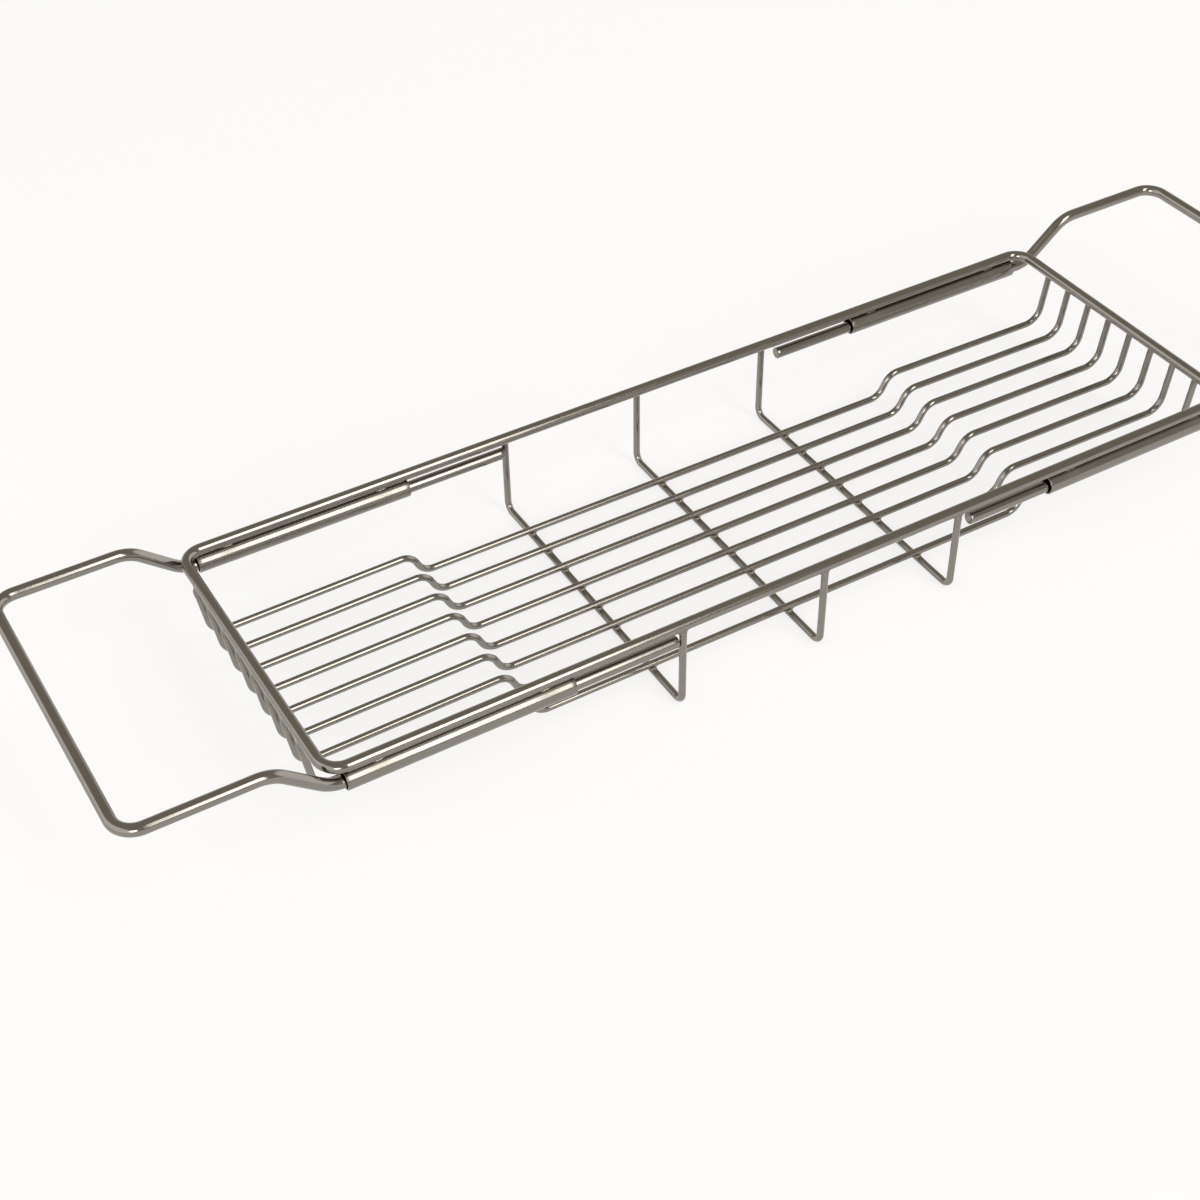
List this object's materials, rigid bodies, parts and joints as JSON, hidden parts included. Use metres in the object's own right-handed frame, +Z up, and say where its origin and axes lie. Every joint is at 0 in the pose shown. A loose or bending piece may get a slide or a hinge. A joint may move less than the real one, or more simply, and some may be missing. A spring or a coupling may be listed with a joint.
{
  "type": "bath caddy",
  "caption": "Extending wire bath caddy: a stepped wire tray in a round-cornered rim, with guide tubes under its sides and pull-out arms that rest on the bath's edges.",
  "frame": {"origin": "middle of the underside of the middle cross wire, in the plane that the three cross wires stand on, under the middle of the tray", "axes": "+X along the tray towards the right arm, +Y across it to the far side, +Z up"},
  "size_m": [0.6902, 0.1724, 0.0633],
  "materials": {
    "steel_wire": "bright, slightly warm",
    "arm_wire": "bright, slightly warm",
    "guide_tube": "bright, slightly warm"
  },
  "bodies": {
    "tray": {"rim_frame": "steel_wire", "floor_wire_1": "steel_wire", "floor_wire_2": "steel_wire", "floor_wire_3": "steel_wire", "floor_wire_4": "steel_wire", "floor_wire_5": "steel_wire", "floor_wire_6": "steel_wire", "floor_wire_7": "steel_wire", "floor_wire_8": "steel_wire", "cross_wire_left": "steel_wire", "cross_wire_middle": "steel_wire", "cross_wire_right": "steel_wire", "guide_tube_left_far": "guide_tube", "guide_tube_left_near": "guide_tube", "guide_tube_right_far": "guide_tube", "guide_tube_right_near": "guide_tube"},
    "left_slider": {"left_arm": "arm_wire"},
    "right_slider": {"right_arm": "arm_wire"}
  },
  "joints": [
    {"name": "left_arm_slide", "type": "slide", "parent": "tray", "child": "left_slider", "axis": [-1, 0, 0], "range_m": [0, 0.1]},
    {"name": "right_arm_slide", "type": "slide", "parent": "tray", "child": "right_slider", "axis": [1, 0, 0], "range_m": [-0.0062, 0.0938]}
  ]
}
